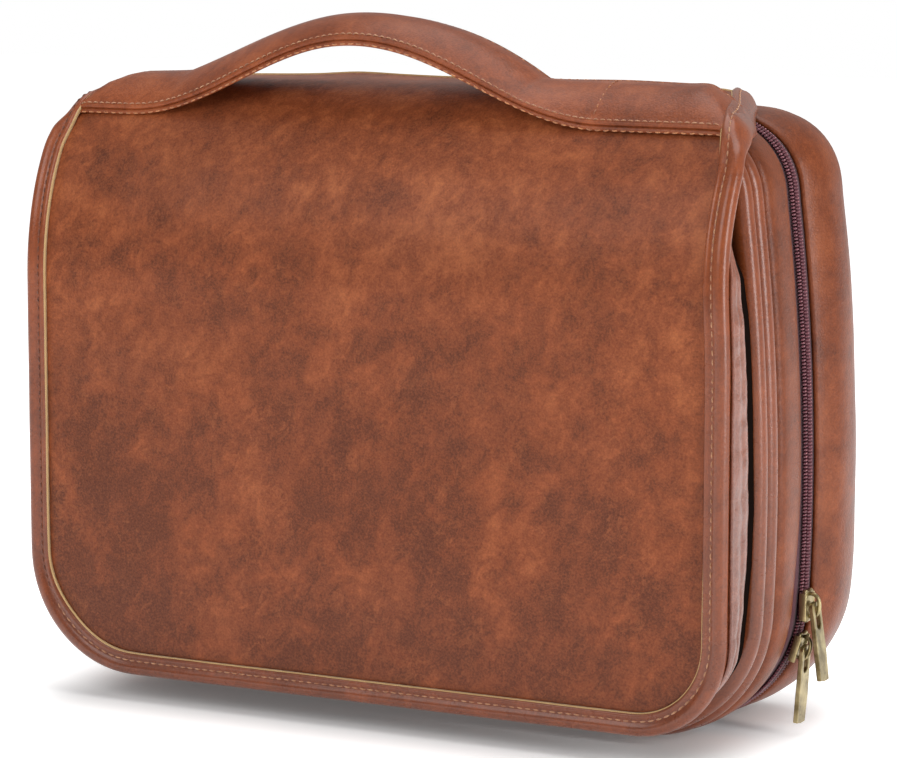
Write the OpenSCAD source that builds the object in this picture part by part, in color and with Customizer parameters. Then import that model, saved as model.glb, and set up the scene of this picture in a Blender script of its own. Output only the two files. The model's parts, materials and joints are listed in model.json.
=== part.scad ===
// Hanging toiletry bag: two zipped shells, a padded front flap, a strap handle and a stowed hook.
// Millimetres, +Z up, +X to the right, front at -Y. The origin lies on the bottom face, on the middle plane.

/* [Body] */
// Width of the shells at their widest corner
body_w = 292; // [276:1:308]
// Height of the shells at their top corners
body_h = 223; // [214:1:232]
// Radius of the bottom corners
bottom_r = 46; // [38:1:48]
// Radius of the top corners
top_r = 28; // [24:1:32]
// How far the top corners stand inside the bottom corners
top_taper = 5.7; // [0:0.1:8]
// How far each side bulges out between its corners
side_bulge = 3.2; // [0:0.1:5]
// How far the top rises in the middle
top_bulge = 5; // [0:0.5:7]

/* [Depth] */
// Front face of the flap, ahead of the origin
flap_front = 57; // [54:0.5:60]
// Front face of the front shell, ahead of the origin
shell_front = 32; // [31:0.5:33]
// Zipper plane, behind the origin
zip_y = 11; // [10:0.5:12]
// Back face of the back shell, behind the origin
shell_back = 59; // [57:0.5:62]

/* [Top wrap] */
// Height at which the front face starts to curve back
crown_start = 158; // [148:1:164]
// Height of the curve over the top
crown_rise = 77; // [72:1:82]
// Angle along the curve at which the flap hinges
flap_hinge_at = 49; // [47:1:52]
// Rear edge of the wrap, behind the origin
wrap_back = 22; // [18:1:24]
// Thickness of the outer leather
leather = 2.4; // [1.6:0.1:2.6]

/* [Flap] */
// Width of the flap
flap_w = 286; // [270:1:290]
// Radius of the flap's bottom corners
flap_r = 38; // [32:1:46]
// Width of the binding's face
binding_w = 8.5; // [6:0.5:10]
// Thickness of the flap at its middle
flap_t = 16; // [13:0.5:17]
// Height of the flap's foot above the bottom
flap_floor = 9.5; // [7:0.5:12]

/* [Handle] */
// Width of the strap
strap_w = 32; // [26:1:34]
// Half of the strap's free span
arch_span = 80; // [70:1:84]
// Height of the arch above the wrap
arch_h = 21.5; // [18:0.5:28]
// Forward lean of the strap in degrees
arch_lean = 16; // [12:1:20]

/* [Zipper] */
// Height of the upper slider
upper_slider_z = 48; // [48:1:60]
// Angle of the lower slider below the corner's centre
lower_slider_at = 17; // [15:1:18]
// Length of each pull
pull_l = 27.5; // [22:0.5:28]
// How far the upper pull leans out over the lower slider, in degrees
upper_pull_lean = 8; // [6:1:12]

/* [Hook] */
// Radius of the hook's bend to the wire's middle
hook_r = 16; // [12:0.5:16]
// Radius of the hook's wire
hook_wire_r = 2.1; // [1.6:0.1:2.4]

/* [Hidden] */
$fn = 48;

tan_leather = [0.56, 0.27, 0.13];
dark_leather = [0.42, 0.19, 0.10];
lining_cloth = [0.20, 0.16, 0.14];
zip_cloth = [0.24, 0.08, 0.10];
brass = [0.66, 0.56, 0.34];
steel = [0.70, 0.70, 0.72];
foam = [0.85, 0.83, 0.78];
board = [0.55, 0.50, 0.42];

corner_steps = 8;
bottom_cx = body_w / 2 - bottom_r;
top_cx = body_w / 2 - top_taper - top_r;
top_cz = body_h - top_r;
flap_cx = flap_w / 2 - flap_r;
flap_cz = flap_floor + flap_r;
far = 400;

// Depth of each layer of the front shell, from the front
piping_w = 9.6;
piping_t = 4.4;
gusset_front = 2 * piping_w - shell_front;
tape_w = 7;
tape_inset = 1.6;
tape_t = 1.4;
teeth_w = 1;
teeth_gap = 0.3;
teeth_inset = 0.9;
front_rim = zip_y - tape_w;
back_rim = zip_y + tape_w + 1;
cover = 6.4;
panel_t = 2;
board_t = 1.6;
lining_t = 1;
lining_gap = 0.4;
back_lining_in = tape_inset + tape_t + 0.2;
back_pocket_in = back_lining_in + lining_t + 0.2;
padding_start = 48.8;
dome_start = 47;
dome_t = 2.2;
zip_top = crown_start + 57;

// Hem: leather strip along the top of the back shell
hem_t = 2.2;
hem_w = 10;
hem_start = 27;

// Wrap: how far its skin stands out from the shells, and how far it has narrowed at each side
// over the origin, over the zipper and at its rear edge
wrap_out = 5;
wrap_narrow = [14, 18.4, 23];
hinge_gap = 0.4;
flap_skin = 1.8;
binding_t = 5.6;
flap_back_t = 1.2;
gusset_t = 2.4;
gusset_inset = 2;

// Point on the skin where the flap hinges, and the skin's directions there
hinge_y = -flap_front * cos(flap_hinge_at);
hinge_z = crown_start + crown_rise * sin(flap_hinge_at);
skin_slope = atan2(crown_rise * cos(flap_hinge_at), flap_front * sin(flap_hinge_at));

// Handle: middle of the strap on the wrap
strap_y = -23;
strap_z = crown_start + 74.5;
strap_t = 2;
strap_neck = 10;
strap_end_x = 128;
strap_end_t = 3.4;
strap_setback = 3.6;

magnet_x = 70;
magnet_z = 52;
magnet_r = 7;

pocket_top = 130;
pocket_y_back = 39;
pocket_y_front = -20;
elastic_h = 9;

hook_y = 17;
hook_pivot_z = 10;
hook_pin_r = 1.5;
hook_bend_z = 62;
hook_tab_w = 14;
hook_ring_w = 19;

slider_l = 12;
slider_w = 8;
slider_t = 1.8;
lower_pin_out = 3;
upper_pin_out = 3.6;
pin_r = 0.8;
slider_out = body_w / 2 + 0.3;
lower_slider_r = bottom_r - 0.4;

// ---- outlines ----

function mix(a, b, t) = a + (b - a) * t;

function arc(cx, cz, r, from, to) =
    [for (i = [0:corner_steps]) let (a = mix(from, to, i / corner_steps)) [cx + r * cos(a), cz + r * sin(a)]];

function mirrored(half) = concat(half, [for (i = [len(half) - 1:-1:0]) [-half[i][0], half[i][1]]]);

// Right half of the shells' outline from the front, grown by g
function shell_half(g) = concat(
    arc(bottom_cx, bottom_r, bottom_r + g, -90, 0),
    [for (i = [1:3]) let (t = i / 4) [
        mix(bottom_cx + bottom_r, top_cx + top_r, t) + g + side_bulge * 4 * t * (1 - t),
        mix(bottom_r, top_cz, t)
    ]],
    arc(top_cx, top_cz, top_r + g, 0, 90),
    [for (i = [1:3]) let (t = i / 4) [top_cx * (1 - t), body_h + g + top_bulge * (1 - (1 - t) * (1 - t))]]
);

// Right half of the flap's outline, grown by g; it runs on above the hinge
function flap_half(g) = concat(
    arc(flap_cx, flap_cz, flap_r + g, -90, 0),
    [[flap_cx + flap_r + g, body_h + 40]]
);

// Side profile of everything that lies d below the skin of flap and wrap
function under_skin(d) = concat(
    [[-flap_front + d, -far]],
    [for (i = [0:14]) let (a = 90 * i / 14)
        [-(flap_front - d) * cos(a), crown_start + (crown_rise - d) * sin(a)]],
    [[far, crown_start + crown_rise - d], [far, -far]]
);

// ---- solids from outlines ----

module from_front(points, y0, y1) {
    translate([0, y1, 0]) rotate([90, 0, 0]) linear_extrude(height = y1 - y0) polygon(points);
}

module from_side(points, x0, x1) {
    translate([x0, 0, 0]) rotate([90, 0, 90]) linear_extrude(height = x1 - x0) polygon(points);
}

module slab(g, y0, y1) {
    from_front(mirrored(shell_half(g)), y0, y1);
}

module below_skin(d) {
    from_side(under_skin(d), -far, far);
}

// A slab of the shell that is also d below the skin
module shell_body(g, d, y0, y1) {
    intersection() {
        slab(g, y0, y1);
        below_skin(d);
    }
}

// A wall of thickness t round the shell, open to the front and back
module shell_wall(g, t, y0, y1) {
    difference() {
        shell_body(g, cover - g, y0, y1);
        shell_body(g - t, cover - g + t, y0 - 1, y1 + 1);
    }
}

// The stretch of a ring that the zipper runs along, up to the wrap's edges
module zipped() {
    intersection() {
        children();
        translate([-far, -far, -far]) cube([2 * far, 2 * far, far + zip_top]);
    }
}

// Half space on one side of the flap's hinge line, seen from the side
module hinge_side(along0, along1) {
    translate([0, hinge_y, hinge_z]) rotate([skin_slope, 0, 0])
        translate([-far, along0, -far]) cube([2 * far, along1 - along0, 2 * far]);
}

module wrap_cap(g, d) {
    intersection() {
        slab(g, -flap_front, wrap_back);
        below_skin(d);
    }
}

// Plan of the wrap: it narrows towards the back, shortened by e at each end
module wrap_plan(e) {
    translate([0, 0, crown_start]) linear_extrude(height = 100)
        polygon(mirrored([
            [flap_w / 2 - e, -flap_front],
            [flap_w / 2 - e, hinge_y],
            [flap_w / 2 - wrap_narrow[0] - e, 0],
            [flap_w / 2 - wrap_narrow[1] - e, zip_y],
            [flap_w / 2 - wrap_narrow[2] - e, wrap_back]
        ]));
}

module wrap_skin() {
    intersection() {
        difference() {
            wrap_cap(wrap_out, 0);
            wrap_cap(wrap_out - leather, leather);
        }
        hinge_side(hinge_gap, far);
    }
}

// ---- back shell ----

module back_gusset() {
    color(tan_leather) difference() {
        slab(0, back_rim, dome_start);
        slab(-leather, back_rim - 1, dome_start + 1);
    }
}

// Soft convex back: outlines that shrink towards the back face
module dome(inset, y0, y1) {
    depth = y1 - y0;
    hull() {
        for (step = [[0, 0], [0.42, 1.6], [0.75, 5], [1, 12]])
            slab(-inset - step[1], y0 + depth * step[0] - 0.05, y0 + depth * step[0]);
    }
}

module back_panel() {
    color(tan_leather) difference() {
        intersection() {
            dome(0, dome_start, shell_back);
            translate([-far, dome_start, -far]) cube([2 * far, far, 2 * far]);
        }
        dome(dome_t, dome_start - 2, shell_back - dome_t);
    }
}

module back_padding() {
    color(foam) intersection() {
        dome(dome_t + 0.4, dome_start - 2, shell_back - dome_t - 0.4);
        translate([-far, padding_start, -far]) cube([2 * far, far, 2 * far]);
    }
}

module back_stiffener() {
    color(board) slab(-dome_t - 3.4, padding_start - board_t - 0.2, padding_start - 0.2);
}

module back_lining() {
    color(lining_cloth) difference() {
        slab(-back_lining_in, zip_y + 1.5, padding_start - board_t - 0.4);
        slab(-back_lining_in - lining_t, zip_y, padding_start - board_t - 0.4 - lining_t);
    }
}

// A sheet across the shell from its floor to the pocket's mouth
module pocket_sheet(y, t) {
    intersection() {
        slab(-back_pocket_in, y, y + t);
        translate([-far, y - 1, 0]) cube([2 * far, t + 2, pocket_top]);
    }
}

module pocket_elastic(y, t) {
    intersection() {
        slab(-back_pocket_in, y, y + t);
        translate([-far, y - 1, pocket_top]) cube([2 * far, t + 2, elastic_h]);
    }
}

module back_mesh_pocket() { color(lining_cloth) pocket_sheet(pocket_y_back, 1); }

module back_pocket_elastic() { color(dark_leather) pocket_elastic(pocket_y_back - 0.6, 2.2); }

module zipper_tape_back() {
    color(zip_cloth) zipped() difference() {
        slab(-tape_inset, zip_y + teeth_gap / 2 + teeth_w, back_rim);
        slab(-tape_inset - tape_t, zip_y, back_rim + 1);
    }
}

module zipper_teeth_back() {
    color(brass) zipped() difference() {
        slab(-teeth_inset, zip_y + teeth_gap / 2, zip_y + teeth_gap / 2 + teeth_w);
        slab(-tape_inset - tape_t, zip_y, zip_y + 3);
    }
}

// Sewn edge on the back shell that the wrap's rear seam turns on
module spine_hem() {
    color(dark_leather) intersection() {
        difference() {
            slab(hem_t, hem_start, hem_start + hem_w);
            slab(0.1, hem_start - 1, hem_start + hem_w + 1);
        }
        translate([-top_cx, 0, crown_start]) cube([2 * top_cx, 100, 100]);
    }
}

// ---- front shell ----

module front_gusset() {
    color(tan_leather) union() {
        shell_wall(0, leather + piping_t, gusset_front, gusset_front + 3);
        shell_wall(0, leather, gusset_front + 3, front_rim);
        shell_wall(-piping_t, leather, panel_t - shell_front, gusset_front);
    }
}

module piping(y0) {
    color(dark_leather) difference() {
        shell_body(0, cover, y0, y0 + piping_w);
        shell_body(-piping_t, cover + piping_t, y0 - 1, y0 + piping_w + 1);
    }
}

module piping_outer() { piping(-shell_front); }

module piping_inner() { piping(piping_w - shell_front); }

module magnets_at(y, t) {
    for (side = [-1, 1])
        translate([side * magnet_x, y + t, magnet_z]) rotate([90, 0, 0]) cylinder(r = magnet_r, h = t);
}

module front_panel() {
    color(tan_leather) difference() {
        shell_body(-piping_t, cover + piping_t, -shell_front, panel_t - shell_front);
        magnets_at(-shell_front - 1, 2.4);
    }
}

module magnet_strikes() { color(steel) magnets_at(-shell_front, 1.4); }

module front_stiffener() {
    inset = piping_t + leather + 0.4;
    front = panel_t + 0.3 - shell_front;
    color(board) shell_body(-inset, cover + inset, front, front + board_t);
}

module front_lining() {
    back = panel_t + board_t + 0.6 - shell_front;
    inset = piping_t + leather + lining_gap;
    color(lining_cloth) difference() {
        shell_body(-inset, cover + inset, back, front_rim - 0.5);
        shell_body(-inset - lining_t, cover + inset + lining_t, back + lining_t, front_rim + 1);
    }
}

module front_pocket_shape(y, t, z0, h) {
    inset = piping_t + leather + lining_gap + lining_t + 0.2;
    intersection() {
        shell_body(-inset, cover + inset, y, y + t);
        translate([-far, y - 1, z0]) cube([2 * far, t + 2, h]);
    }
}

module front_mesh_pocket() { color(lining_cloth) front_pocket_shape(pocket_y_front, 1, 0, pocket_top); }

module front_pocket_elastic() {
    color(dark_leather) front_pocket_shape(pocket_y_front - 0.6, 2.2, pocket_top, elastic_h);
}

module zipper_tape_front() {
    color(zip_cloth) zipped()
        shell_wall(-tape_inset, tape_t, front_rim, zip_y - teeth_gap / 2 - teeth_w);
}

module zipper_teeth_front() {
    color(brass) zipped()
        shell_wall(-teeth_inset, tape_inset + tape_t - teeth_inset, zip_y - teeth_gap / 2 - teeth_w,
            zip_y - teeth_gap / 2);
}

module wrap() {
    color(tan_leather) intersection() {
        wrap_skin();
        wrap_plan(binding_w);
    }
}

module wrap_binding_right() {
    color(dark_leather) intersection() {
        difference() {
            wrap_skin();
            wrap_plan(binding_w);
        }
        wrap_plan(0);
        translate([0, -far, 0]) cube([far, 2 * far, far]);
    }
}

module wrap_binding_left() { mirror([1, 0, 0]) wrap_binding_right(); }

module wrap_lining() {
    color(foam) intersection() {
        difference() {
            wrap_cap(wrap_out - leather - 0.1, leather + 0.1);
            wrap_cap(0.2, cover - 0.2);
        }
        hinge_side(hinge_gap, far);
        wrap_plan(binding_w + 2);
        translate([-far, -far, 0]) cube([2 * far, far + front_rim, far]);
    }
}

module handle_end_right() {
    color(tan_leather) intersection() {
        difference() {
            wrap_cap(wrap_out + strap_end_t, -strap_end_t);
            wrap_cap(wrap_out, 0);
        }
        hinge_side(strap_setback, strap_setback + strap_w - 2);
        translate([arch_span, -far, crown_start]) cube([strap_end_x - arch_span, 2 * far, far]);
    }
}

module handle_end_left() { mirror([1, 0, 0]) handle_end_right(); }

module hook_axle(r, l) {
    translate([-l / 2, hook_y, hook_pivot_z]) rotate([0, 90, 0]) cylinder(r = r, h = l);
}

module hook_tab() {
    floor_z = piping_t + leather + lining_gap + lining_t;
    foot_w = 18;
    foot_end = 3.5;
    color(dark_leather) difference() {
        union() {
            translate([-foot_w / 2, foot_end - 11.5, floor_z]) cube([foot_w, 11.5, 3.4]);
            translate([-hook_tab_w / 2, foot_end - 0.5, hook_pivot_z - 1.6])
                cube([hook_tab_w, hook_y - foot_end - 0.5, 2.8]);
            hook_axle(3.6, hook_tab_w);
        }
        hook_axle(hook_pin_r + 0.1, hook_tab_w + 2);
    }
}

// ---- flap ----

// Everything between d0 and d1 below the skin, on the flap's side of the hinge
module flap_layer(g, d0, d1) {
    intersection() {
        difference() {
            below_skin(d0);
            below_skin(d1);
        }
        from_front(mirrored(flap_half(g)), -far, 0);
        slab(wrap_out + g / 2, -far, 0);
        hinge_side(-far, -hinge_gap);
    }
}

module flap_panel() { color(tan_leather) flap_layer(-binding_w, 0, flap_skin); }

module flap_binding() {
    color(dark_leather) difference() {
        flap_layer(0, 0, binding_t);
        flap_layer(-binding_w, -1, binding_t + 1);
    }
}

// Side profile of the flap's padding: full in the middle, thin at its foot and at the hinge
module pouch(front_d, back_d) {
    back_y = -flap_front + back_d;
    thin = -flap_front + binding_t + (back_d - flap_t);
    intersection() {
        below_skin(front_d);
        from_side([
            [-far, -far], [thin, -far], [thin, flap_floor + 10], [back_y - 1.6, flap_floor + 40],
            [back_y, flap_floor + 74], [back_y, crown_start - 8], [back_y + 0.6, crown_start + 10],
            [back_y + 2.4, crown_start + 36], [back_y + 7, crown_start + 49],
            [back_y + 7, crown_start + 59], [back_y + 5, crown_start + crown_rise],
            [-far, crown_start + crown_rise]
        ], -far, far);
        hinge_side(-far, -hinge_gap);
        slab(wrap_out - 1, -far, 0);
    }
}

module pouch_front(inset) {
    intersection() {
        from_front(mirrored(flap_half(-inset)), -far, 0);
        children();
    }
}

module flap_padding() {
    color(foam) difference() {
        pouch_front(binding_w + 0.9) pouch(flap_skin, flap_t - flap_back_t);
        magnets_at(-flap_front + 6, 3);
    }
}

module flap_magnets() { color(steel) magnets_at(-flap_front + 6.1, 2.8); }

module flap_back() {
    color(lining_cloth) pouch_front(binding_w - 3.2) difference() {
        pouch(binding_t + 0.2, flap_t);
        pouch(-1, flap_t - flap_back_t);
    }
}

// Side wall of the flap: a strip behind the binding that is deepest in the middle
module flap_gusset_right() {
    front_d = binding_t + 0.2;
    back_y = -flap_front + flap_t;
    strip = concat(
        [[-flap_front + front_d, flap_floor + 13]],
        [for (i = [0:8]) let (a = 4.5 * i)
            [-(flap_front - front_d) * cos(a), crown_start + (crown_rise - front_d) * sin(a)]],
        [[back_y + 3.4, crown_start + 40], [back_y + 0.8, crown_start + 10], [back_y, crown_start - 8],
            [back_y, flap_floor + 74], [back_y - 2, flap_floor + 40],
            [-flap_front + front_d + 1, flap_floor + 13]]
    );
    color(dark_leather) intersection() {
        difference() {
            from_front(mirrored(flap_half(-gusset_inset)), -far, 0);
            from_front(mirrored(flap_half(-gusset_inset - gusset_t)), -far, 1);
        }
        from_side(strip, 0, far);
    }
}

module flap_gusset_left() { mirror([1, 0, 0]) flap_gusset_right(); }

// ---- handle ----

// One layer of the arch, from height t0 to t1 about the strap's middle
module arch_layer(t0, t1) {
    free = arch_span - 0.6;
    xs = [for (i = [-10:10]) free * i / 10];
    function rise(x) = arch_h * (1 + cos(180 * x / (arch_span + 4))) / 2;
    translate([0, strap_y, strap_z]) rotate([arch_lean, 0, 0]) intersection() {
        from_front(concat(
            [for (x = xs) [x, rise(x) + t0]],
            [for (i = [20:-1:0]) [xs[i], rise(xs[i]) + t1]]
        ), -strap_w, strap_w);
        linear_extrude(height = 100, center = true) polygon([
            [-free, -strap_neck / 2], [-45, -strap_w / 2], [45, -strap_w / 2], [free, -strap_neck / 2],
            [free, strap_neck / 2], [45, strap_w / 2], [-45, strap_w / 2], [-free, strap_neck / 2]
        ]);
    }
}

module handle_strap() { color(tan_leather) arch_layer(0, strap_t); }

module handle_underlayer() { color(dark_leather) arch_layer(-strap_t, 0); }

// ---- zip sliders: local x points away from the bag and local z runs along the teeth ----

// A plate on the teeth and a bridge over the pin, which lies pin_out from the plate's inner face
module slider_body(pin_out) {
    bridge_t = 1.1;
    bridge_w = 2.4;
    bridge_l = 8;
    bridge_x = pin_out + pin_r + 0.2;
    color(brass) union() {
        translate([0, -slider_w / 2, -slider_l / 2]) cube([slider_t, slider_w, slider_l]);
        for (end = [-1, 1])
            translate([slider_t - 0.2, -bridge_w / 2, end * (bridge_l - bridge_t) / 2 - bridge_t / 2])
                cube([bridge_x - slider_t + 0.3, bridge_w, bridge_t]);
        translate([bridge_x, -bridge_w / 2, -bridge_l / 2]) cube([bridge_t, bridge_w, bridge_l]);
    }
}

module upper_place() { translate([slider_out, zip_y, upper_slider_z]) children(); }

module lower_place() {
    translate([bottom_cx, zip_y, bottom_r]) rotate([0, lower_slider_at, 0])
        translate([lower_slider_r, 0, 0]) children();
}

module upper_slider() { upper_place() slider_body(upper_pin_out); }

module lower_slider() { lower_place() slider_body(lower_pin_out); }

// A pull hangs straight down from its pin, which lies along Y
module pull_body() {
    arm_l = 12;
    arm_w = 1.8;
    pull_w = 7.6;
    tip = pull_l - arm_l;
    color(brass) union() {
        rotate([90, 0, 0]) cylinder(r = pin_r, h = pull_w, center = true);
        for (side = [-1, 1])
            translate([-pin_r, side * (pull_w - arm_w) / 2 - arm_w / 2, -arm_l])
                cube([2 * pin_r, arm_w, arm_l + 0.6]);
        translate([0, 0, 1 - arm_l]) rotate([0, 90, 0]) linear_extrude(height = 2 * pin_r, center = true)
            polygon([[0, -pull_w / 2], [tip, -pull_w / 2 - 0.4], [tip + 1, 0.4 - pull_w / 2],
                [tip + 1, pull_w / 2 - 0.4], [tip, pull_w / 2 + 0.4], [0, pull_w / 2]]);
    }
}

module upper_pull() {
    upper_place() translate([upper_pin_out, 0, 0]) rotate([0, -upper_pull_lean, 0]) pull_body();
}

module lower_pull() {
    lower_place() translate([lower_pin_out, 0, 0]) rotate([0, -lower_slider_at, 0]) pull_body();
}

// ---- hook ----

module hook_ring() {
    color(steel) difference() {
        union() {
            hook_axle(hook_pin_r, hook_ring_w);
            for (side = [-1, 1])
                translate([side * (hook_ring_w / 2 - 1) - 1, hook_y - 2, hook_pivot_z - 2]) cube([2, 4, 14]);
            translate([-hook_ring_w / 2, hook_y - 3, hook_pivot_z + 11]) cube([hook_ring_w, 6, 3]);
        }
        translate([0, hook_y, hook_pivot_z + 5]) cylinder(r = hook_wire_r + 0.1, h = 20);
    }
}

module hanging_hook() {
    color(steel) translate([0, hook_y, 0]) union() {
        translate([0, 0, hook_pivot_z + 7.6]) cylinder(r = 3.4, h = 3);
        translate([0, 0, hook_pivot_z + 8])
            cylinder(r = hook_wire_r, h = hook_bend_z - hook_r - hook_pivot_z - 8);
        translate([0, 0, hook_bend_z]) rotate([90, 0, 0]) rotate([0, 0, -90])
            rotate_extrude(angle = 300) translate([hook_r, 0]) circle(r = hook_wire_r);
    }
}

back_gusset();
back_panel();
back_padding();
back_stiffener();
back_lining();
back_mesh_pocket();
back_pocket_elastic();
zipper_tape_back();
zipper_teeth_back();
spine_hem();
front_gusset();
piping_outer();
piping_inner();
front_panel();
front_stiffener();
front_lining();
front_mesh_pocket();
front_pocket_elastic();
zipper_tape_front();
zipper_teeth_front();
magnet_strikes();
wrap();
wrap_lining();
wrap_binding_left();
wrap_binding_right();
handle_end_left();
handle_end_right();
hook_tab();
flap_panel();
flap_padding();
flap_back();
flap_binding();
flap_gusset_left();
flap_gusset_right();
flap_magnets();
handle_strap();
handle_underlayer();
upper_slider();
upper_pull();
lower_slider();
lower_pull();
hook_ring();
hanging_hook();
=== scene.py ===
"""Hanging toiletry bag: soft leather, thread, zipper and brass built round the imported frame."""

import json
from math import atan2, cos, pi, radians, sin, tau

import bpy
import numpy as np
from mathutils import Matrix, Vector, noise


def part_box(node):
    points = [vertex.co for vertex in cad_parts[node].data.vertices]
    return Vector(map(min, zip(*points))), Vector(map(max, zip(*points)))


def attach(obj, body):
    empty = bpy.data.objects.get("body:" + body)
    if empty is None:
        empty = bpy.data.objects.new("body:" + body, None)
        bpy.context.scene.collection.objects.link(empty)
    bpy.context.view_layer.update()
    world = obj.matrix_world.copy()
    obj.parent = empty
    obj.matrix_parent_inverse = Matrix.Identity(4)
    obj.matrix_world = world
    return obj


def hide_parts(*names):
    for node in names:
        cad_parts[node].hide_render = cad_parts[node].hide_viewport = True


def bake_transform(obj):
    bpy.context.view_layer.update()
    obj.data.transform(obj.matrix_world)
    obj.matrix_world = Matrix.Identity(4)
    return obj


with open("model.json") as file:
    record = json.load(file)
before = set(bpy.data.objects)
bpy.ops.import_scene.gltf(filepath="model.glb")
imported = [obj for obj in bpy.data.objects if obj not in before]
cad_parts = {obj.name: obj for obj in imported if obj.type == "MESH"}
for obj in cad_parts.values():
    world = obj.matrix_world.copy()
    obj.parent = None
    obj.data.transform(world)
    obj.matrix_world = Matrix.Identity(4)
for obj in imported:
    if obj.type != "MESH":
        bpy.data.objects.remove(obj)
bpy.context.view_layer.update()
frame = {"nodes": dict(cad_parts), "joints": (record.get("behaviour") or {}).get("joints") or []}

MM = 0.001


def span(node):
    """Lowest and highest corner of a CAD node, in millimetres."""
    low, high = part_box(node)
    return np.array(low) / MM, np.array(high) / MM


# ---- dimensions, in millimetres
BOTTOM_R, TOP_R = 51.0, 28.0
CORNER_X = 146.0
TOP_TAPER, SIDE_BULGE, TOP_BULGE = 5.7, 3.2, 5.0
BODY_H = span("back_gusset")[1][2] - 0.94 * TOP_BULGE
BOTTOM_CX = CORNER_X - BOTTOM_R
TOP_CX = CORNER_X - TOP_TAPER - TOP_R
TOP_CZ = BODY_H - TOP_R
MIDDLE_Z = BODY_H / 2

FLAP_FRONT = -span("flap_panel")[0][1]
SHELL_FRONT = -span("front_panel")[0][1]
SHELL_BACK = span("back_panel")[1][1]
ZIP_Y = (span("zipper_teeth_front")[1][1] + span("zipper_teeth_back")[0][1]) / 2
WRAP_BACK = span("wrap")[1][1]
FLAP_FLOOR = span("flap_binding")[0][2]
FLAP_HALF = span("flap_binding")[1][0]
CROWN_START, CROWN_RISE = 158.0, 77.0
COVER = 6.4
FOOT_HEIGHT = 56
WRAP_OUT = 5.0
WRAP_END_X, WRAP_END_RUN = 117, 14
FLAP_R = {-1: 45.0, 1: 35.0}
FLAP_WIDER = 1.8
BINDING_W = 8.5
SEAM_IN = 5.7
TOOTH_PITCH = 1.24
STITCH_PITCH, STITCH_LENGTH = 3.2, 2.4
Y_AXIS = np.array([0.0, 1.0, 0.0])
HALVES = ((-1, "front"), (1, "back"))
SIDE_SWELL = 3.6

PLACES = {j["name"]: np.array(j["pos_m"]) for j in frame["joints"] if "pos_m" in j}
FLAP_AXIS = PLACES["flap_hinge"] / MM
SPINE_AXIS = PLACES["front_shell_hinge"] / MM

# ---- small tools


def mix(a, b, t):
    return a + (b - a) * t


def ease(t):
    """0 below 0, 1 above 1 and a smooth step between."""
    t = np.clip(t, 0.0, 1.0)
    return t * t * (3 - 2 * t)


def soft_min(a, b, r):
    h = np.clip(0.5 + 0.5 * (b - a) / r, 0, 1)
    return mix(b, a, h) - r * h * (1 - h)


def unit(v):
    return v / np.maximum(np.linalg.norm(v, axis=-1, keepdims=True), 1e-9)


def bell(t, u=0.0):
    return np.exp(-(t**2 + u**2))


def around(steps):
    """Angles once round a circle."""
    return np.linspace(0, tau, steps, endpoint=False)


def oval(centre, radii, a):
    return np.c_[centre[0] + radii[0] * np.cos(a), centre[1] + radii[1] * np.sin(a)]


def together(*values):
    return np.broadcast_arrays(*(np.asarray(v, float) for v in values))


def level(x, y):
    return np.stack([x, y, np.zeros_like(x)], -1)


def distances(line):
    """Distance of each point of a line from its start."""
    return np.r_[0, np.cumsum(np.linalg.norm(np.diff(line, axis=0), axis=1))]


def read(at, along, line):
    """The points of a line at some distances along it."""
    return np.stack([np.interp(at, along, column) for column in line.T], -1)


def even(line, count, closed=False):
    """Evenly spaced points along a line."""
    along = distances(line)
    return read(np.linspace(0, along[-1], count, endpoint=not closed), along, line)


def ripple(points, size, seed):
    """Smooth noise from -1 to 1 at each point, with features about size millimetres across."""
    shift = Vector((seed, seed, seed))
    values = [noise.noise(Vector(p) / size + shift) for p in points.reshape(-1, 3)]
    return np.reshape(values, points.shape[:-1])


def quads(rows, columns, close_rows=False, close_columns=False):
    faces = []
    for i in range(rows if close_rows else rows - 1):
        for j in range(columns if close_columns else columns - 1):
            a, b = i * columns + j, i * columns + (j + 1) % columns
            c, d = ((i + 1) % rows) * columns + (j + 1) % columns, ((i + 1) % rows) * columns + j
            faces.append((a, b, c, d))
    return faces


def tube_faces(n, m, closed=False):
    """Faces of a tube of n outlines of m points, capped at both ends unless closed."""
    faces = quads(n, m, close_rows=closed, close_columns=True)
    if not closed:
        faces += [tuple(range(m))[::-1], tuple((n - 1) * m + i for i in range(m))]
    return faces


def mesh_piece(name, points, faces, material, flip=False, thick=0.0, grow=-1.0):
    """A smooth-shaded mesh object from points in millimetres, thickened to one side of its faces."""
    mesh = bpy.data.meshes.new(name)
    if flip:
        faces = [tuple(reversed(f)) for f in faces]
    metres = np.asarray(points, float).reshape(-1, 3) * MM
    mesh.from_pydata(metres.tolist(), [], [tuple(map(int, f)) for f in faces])
    mesh.validate()
    mesh.shade_smooth()
    piece = bpy.data.objects.new(name, mesh)
    bpy.context.scene.collection.objects.link(piece)
    mesh.materials.append(material)
    if thick:
        made = piece.modifiers.new("thickness", "SOLIDIFY")
        made.thickness = thick * MM
        made.offset = grow
        made.use_even_offset = False
    return piece


def round_edges(piece, bevel):
    rounded = piece.modifiers.new("rounded", "BEVEL")
    rounded.width = bevel * MM
    rounded.segments = 3
    rounded.limit_method = "ANGLE"


def swept(name, sections, material, closed=False, flip=False):
    """A tube from sections[n, m, 3]: n outlines of m points."""
    return mesh_piece(name, sections, tube_faces(*sections.shape[:2], closed), material, flip)


def join(parts):
    """Several (points, faces) shells as one."""
    points, faces, start = [], [], 0
    for p, f in parts:
        points.append(p)
        faces += [tuple(i + start for i in face) for face in f]
        start += len(p)
    return np.concatenate(points), faces


# ---- materials


def set_inputs(node, **values):
    for key, value in values.items():
        node.inputs[key.replace("_", " ")].default_value = value


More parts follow.
